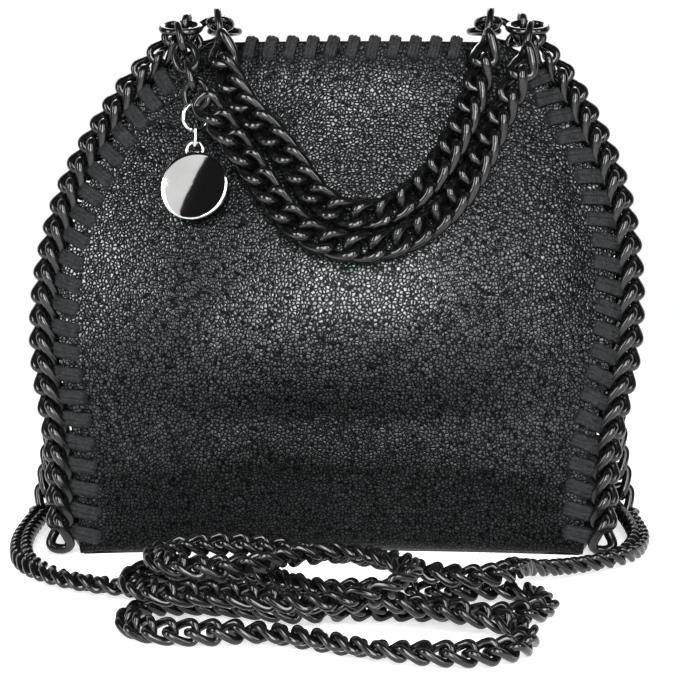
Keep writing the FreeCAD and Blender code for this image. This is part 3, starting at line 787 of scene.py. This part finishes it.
def wall_lining(name, wall, columns=80, rows=90):
    low = (lining_floor + lining_foot_gap) / body_height
    high = 1 - lining_drop / body_height
    points = []
    for row in range(rows):
        share = low + (high - low) * row / (rows - 1)
        reach = 1 - lining_inset / half_width(wall, share)
        for column in range(columns):
            across = (2 * column / (columns - 1) - 1) * reach
            point = wall_point(wall, across, share)
            slack = lining_slack * (1 + noise.noise(Vector((point.x * 35, 20 * wall.side, point.z * 25))))
            rim_share = min(1, 10 * (1 - share), 10 * (share - low))
            depth = leather_thickness + seam_gap + lining_gap + slack * rim_share
            points.append(wall_point(wall, across, share, depth))
    faces = grid_faces(rows, columns)
    if wall.side < 0:
        faces = [face[::-1] for face in faces]
    piece = add_mesh(name + "_cloth", points, faces, lining_cloth, "bag")
    thicken = piece.modifiers.new("cloth thickness", "SOLIDIFY")
    thicken.thickness = wall_cloth_thickness
    thicken.offset = 0
    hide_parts(name)


wall_lining("front_lining", front)
wall_lining("back_lining", back)

# Thong: lengthwise creases, places across the half width with depths in shares of the thickness
thong_creases = ((0.25, 0.5), (-0.45, 0.35))
crease_spread = 0.1
crown_shares = (-1, -0.95, -0.82, -0.7, -0.57, -0.45, -0.33, -0.15,
                0, 0.13, 0.25, 0.37, 0.55, 0.82, 0.95, 1)
flat_shares = (0.9, 0.5, 0, -0.5, -0.9)
crown_drop = 0.35
flat_drop = 0.45
lacing_low_share = 0.045
lacing_high_share = 0.93


# One stitch from its hole, over the edge and back into the leather: inward from the edge, and outward
def strip_route(tip):
    inner = -leather_thickness
    return [(5.9 * mm, -0.8 * mm), (5.4 * mm, 0.2 * mm), (4.5 * mm, 0.75 * mm), (2.6 * mm, 0.95 * mm),
            (0.5 * mm, 1.0 * mm), (-tip * 0.6, 0.75 * mm), (-tip, -0.1 * mm), (-tip, inner + 0.1 * mm),
            (-tip * 0.6, inner - 0.75 * mm), (0.5 * mm, inner - 0.95 * mm), (3.2 * mm, inner - 0.8 * mm),
            (4.6 * mm, inner - 0.2 * mm), (5.0 * mm, inner + 0.5 * mm)]


# Smooth line through points, as a Catmull-Rom spline
def smooth_points(points, per_span):
    line = []
    for index in range(len(points) - 1):
        p = [np.array(points[min(max(index + k, 0), len(points) - 1)]) for k in (-1, 0, 1, 2)]
        for step in range(per_span):
            t = step / per_span
            bend = 2 * p[0] - 5 * p[1] + 4 * p[2] - p[3]
            twist = 3 * p[1] - p[0] - 3 * p[2] + p[3]
            line.append(0.5 * (2 * p[1] + (p[2] - p[0]) * t + bend * t * t + twist * t ** 3))
    line.append(np.array(points[-1]))
    return np.array(line)


# Section of the thong: crowned and creased above, flat below
def strip_section(width):
    half = width / 2
    section = []
    for share in crown_shares:
        crown = math.sqrt(1 - share ** 2) - crown_drop
        crease = 0
        for place, deep in thong_creases:
            crease += deep * math.exp(-((share - place) / crease_spread) ** 2)
        section.append((share * half, thong_thickness * (crown - crease)))
    for share in flat_shares:
        section.append((share * half, -thong_thickness * flat_drop))
    return section


def strip_mesh(tip, width):
    line = smooth_points(strip_route(tip), 4)
    ahead = np.gradient(line, axis=0)
    ahead /= np.linalg.norm(ahead, axis=1)[:, None]
    normal = np.stack((ahead[:, 1], -ahead[:, 0]), axis=1)
    if normal[len(line) // 4][1] < 0:
        normal = -normal
    section = strip_section(width)
    points = []
    for place, out in zip(line, normal):
        for along_edge, lift in section:
            offset = place + out * lift
            points.append((along_edge, offset[0], offset[1]))
    size = len(section)
    faces = tube_faces(len(line), size)
    faces.append(tuple(range(size))[::-1])
    faces.append(tuple(range((len(line) - 1) * size, len(line) * size)))
    return np.array(points), faces


def lacing_piece(node, places, tip, width):
    strip, strip_faces = strip_mesh(tip, width)
    points, faces = [], []
    for number, (origin, into, outward) in enumerate(places):
        edgewise = into.cross(outward)
        axes = np.array((edgewise, into, outward))
        points.append(strip @ axes + np.array(origin))
        faces += [tuple(i + number * len(strip) for i in face) for face in strip_faces]
    piece = add_mesh(node + "_strips", np.concatenate(points), faces, thong, "bag")
    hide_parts(node)


def leaned(into, outward, degrees):
    return Matrix.Rotation(math.radians(degrees), 3, outward) @ into


# Evenly spaced stitches up one side of a wall: place on the edge, inward direction and outward direction
def side_places(wall, side):
    rise = lacing_high_share - lacing_low_share
    samples = 400
    line = [wall_point(wall, side, lacing_low_share + rise * k / samples) for k in range(samples + 1)]
    travel = np.concatenate(([0], np.cumsum([(b - a).length for a, b in zip(line, line[1:])])))
    count = round(travel[-1] / edge_pitch)
    places = []
    for number in range(count + 1):
        height = np.interp(travel[-1] * number / count, travel, [p.z for p in line])
        share = height / body_height
        up, outward = wall_frame(wall, side, share)
        away = up.cross(outward)
        away = away * (side * (1 if away.x > 0 else -1))
        into = leaned(-away, outward, wall.side * thong_slant)
        places.append((wall_point(wall, side, share), into, outward))
    return places


def top_places(wall):
    count = round(2 * top_lacing_half_span / top_lacing_pitch)
    places = []
    for number in range(count + 1):
        across = (2 * number / count - 1) * top_lacing_half_span / half_width(wall, 1.0)
        outward = wall_frame(wall, across, 0.99)[1]
        into = outward.cross(Vector((wall.side, 0, 0)))
        places.append((wall_point(wall, across, 1.0), leaned(into, outward, -thong_slant), outward))
    return places


for place, wall in (("front", front), ("back", back)):
    lacing_piece(place + "_left_lacing", side_places(wall, -1), side_thong_tip, thong_width)
    lacing_piece(place + "_right_lacing", side_places(wall, 1), side_thong_tip, thong_width)
    lacing_piece(place + "_top_lacing", top_places(wall), top_thong_tip, top_thong_width)

# Pendant disc: a thin blank disc, gently domed, with a round rim and a small ring as its bail
disc_radius = 10.9 * mm
disc_half_thickness = 1.2 * mm
disc_back_share = 0.9
disc_rim = 0.6 * mm
disc_rim_half_height = 0.75 * mm
disc_dome = 0.45 * mm
disc_back_dome = 0.25 * mm
disc_tip_radius = 0.01 * mm
bail_radius = 2.6 * mm
bail_wire = 1.3 * mm
disc_centre = Vector((-41.55, -27.44, 115.17)) * mm
disc_fall = Vector((0, -0.3195, -0.9476)).normalized()
disc_facing = Vector((-0.1895, -0.9285, 0.3130))


# Radius and height from the middle of the disc's back, around the rim, to the middle of its face
def disc_profile():
    low = -disc_half_thickness * disc_back_share
    profile = [(disc_tip_radius, low)]
    profile += [(disc_radius * k / 8, low + disc_back_dome * (k / 8) ** 2) for k in range(1, 8)]
    for step in range(9):
        angle = -math.pi / 2 + math.pi * step / 8
        radius = disc_radius - disc_rim + disc_rim * math.cos(angle)
        profile.append((radius, disc_rim_half_height * math.sin(angle)))
    for k in range(11, 0, -1):
        profile.append((disc_radius * k / 12, disc_half_thickness - disc_dome * (k / 12) ** 2))
    return profile + [(disc_tip_radius, disc_half_thickness)]


def lathe(profile, around):
    points = []
    for radius, height in profile:
        for step in range(around):
            angle = 2 * math.pi * step / around
            points.append((radius * math.cos(angle), radius * math.sin(angle), height))
    return points, tube_faces(len(profile), around)


def bail_points(rings, around):
    points = []
    for ring in range(rings):
        turn = 2 * math.pi * ring / rings
        for step in range(around):
            roll = 2 * math.pi * step / around
            out = bail_radius + bail_wire / 2 * math.cos(roll)
            x = -disc_radius - bail_wire / 2 + out * math.cos(turn)
            points.append((x, out * math.sin(turn), bail_wire / 2 * math.sin(roll)))
    return points


def pendant_disc_piece(rings=40, around=14):
    points, faces = lathe(disc_profile(), 96)
    start = len(points)
    points += bail_points(rings, around)
    for a, b, c, d in tube_faces(rings, around, closed=True):
        faces.append((start + a, start + d, start + c, start + b))
    sideways = disc_facing.cross(disc_fall).normalized()
    axes = np.array((disc_fall, sideways, disc_fall.cross(sideways)))
    placed = np.array(points) @ axes + np.array(disc_centre)
    piece = add_mesh("pendant_disc_polished", placed, faces, silver, "pendant_disc")
    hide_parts("pendant_disc")


pendant_disc_piece()

# CAD nodes that stay take their materials
kept = {"base_board": board_grey, "snap_socket": snap_steel, "snap_stud": snap_steel,
        "pendant_ring": silver, "pendant_link": silver,
        "left_strap_ring": black_lacquer, "right_strap_ring": black_lacquer}
for place in ("front", "back"):
    for side in ("left", "right"):
        kept[place + "_" + side + "_corner_ring"] = black_lacquer
for node, material in kept.items():
    nodes[node].data.materials.clear()
    nodes[node].data.materials.append(material)


# Strength that is high for rays from the camera, mirrors and glass, and low for the light it sheds
def white_when_seen(tree, low, high):
    path = tree.nodes.new("ShaderNodeLightPath")
    seen = path.outputs["Is Camera Ray"]
    for ray in ("Is Glossy Ray", "Is Transmission Ray"):
        either = tree.nodes.new("ShaderNodeMath")
        either.operation = "MAXIMUM"
        tree.links.new(seen, either.inputs[0])
        tree.links.new(path.outputs[ray], either.inputs[1])
        seen = either.outputs["Value"]
    strength = tree.nodes.new("ShaderNodeMapRange")
    tree.links.new(seen, strength.inputs["Value"])
    strength.inputs["To Min"].default_value = low
    strength.inputs["To Max"].default_value = high
    return strength.outputs["Result"]


def add_stage_quad(name, corners, material):
    mesh = bpy.data.meshes.new(name)
    mesh.from_pydata(corners, [], [(0, 1, 2, 3)])
    mesh.materials.append(material)
    quad = bpy.data.objects.new(name, mesh)
    bpy.context.collection.objects.link(quad)
    return quad


# White floor: it keeps the object's soft shadow near the object and is plain white further off
floor_half_size = 3.0
shadow_reach = 0.2
white_reach = 0.75


def make_floor():
    s = Shader("white_floor")
    s.set(Base_Color=(0.9, 0.9, 0.9, 1), Roughness=0.8, Specular_IOR_Level=0.0)
    s.set(Emission_Color=(1, 1, 1, 1))
    s.link(white_when_seen(s.tree, 0.0, 0.6), s.bsdf.inputs["Emission Strength"])
    distance = s.add("ShaderNodeVectorMath", operation="LENGTH")
    s.link(s.place, distance.inputs[0])
    far = s.smooth_span(distance.outputs["Value"], shadow_reach, white_reach)
    glow = s.add("ShaderNodeEmission")
    s.link(white_when_seen(s.tree, 0.5, 1.0), glow.inputs["Strength"])
    mix = s.add("ShaderNodeMixShader")
    s.link(far, mix.inputs["Fac"])
    s.link(s.bsdf.outputs["BSDF"], mix.inputs[1])
    s.link(glow.outputs["Emission"], mix.inputs[2])
    s.link(mix.outputs["Shader"], s.tree.nodes["Material Output"].inputs["Surface"])
    size = floor_half_size
    corners = [(-size, -size, 0), (size, -size, 0), (size, size, 0), (-size, size, 0)]
    add_stage_quad("floor", corners, s.material)


def make_world():
    world = bpy.data.worlds.new("studio")
    bpy.context.scene.world = world
    world.use_nodes = True
    tree = world.node_tree
    background = tree.nodes["Background"]
    tree.links.new(white_when_seen(tree, 0.25, 1.0), background.inputs["Strength"])
    background.inputs["Color"].default_value = (1, 1, 1, 1)


# Dark cards in front, at the sides and overhead, unseen by the camera, keep black surfaces black
def make_card(name, corners):
    s = Shader(name)
    s.set(Base_Color=(0.005, 0.005, 0.005, 1), Roughness=0.9)
    card = add_stage_quad(name, corners, s.material)
    card.visible_camera = False


def area_light(name, place, aim, size, power):
    data = bpy.data.lights.new(name, "AREA")
    data.shape = "RECTANGLE"
    data.size, data.size_y = size
    data.energy = power
    light = bpy.data.objects.new(name, data)
    bpy.context.collection.objects.link(light)
    light.location = place
    light.rotation_euler = (Vector(aim) - Vector(place)).to_track_quat("-Z", "Y").to_euler()


make_floor()
make_world()
make_card("front_card", [(-0.95, -1.1, 0.0), (1.6, -1.1, 0.0), (1.6, -1.0, 1.5), (-0.6, -1.0, 1.5)])
make_card("left_card", [(-1.5, -0.9, 0.0), (-1.5, 0.5, 0.0), (-1.5, 0.5, 1.5), (-1.5, -0.9, 1.5)])
make_card("right_card", [(1.6, -1.0, 0.0), (1.6, 0.5, 0.0), (1.6, 0.5, 1.5), (1.6, -1.0, 1.5)])
make_card("top_card", [(-1.5, -1.0, 1.5), (1.5, -1.0, 1.5), (1.5, 0.6, 1.6), (-1.5, 0.6, 1.6)])
area_light("key_softbox", (0.05, -0.76, 0.38), (0, 0, 0.09), (0.32, 0.64), 8.5)
area_light("left_softbox", (-0.70, -0.56, 0.38), (0, 0, 0.08), (0.18, 0.56), 4.6)
area_light("right_softbox", (0.52, -0.62, 0.38), (0, 0, 0.08), (0.18, 0.56), 3.2)
area_light("front_fill", (0.0, -0.9, 0.1), (0, 0, 0.09), (0.6, 0.14), 2.6)
area_light("back_softbox", (0.0, 0.6, 0.7), (0, 0, 0.08), (0.7, 0.3), 5)
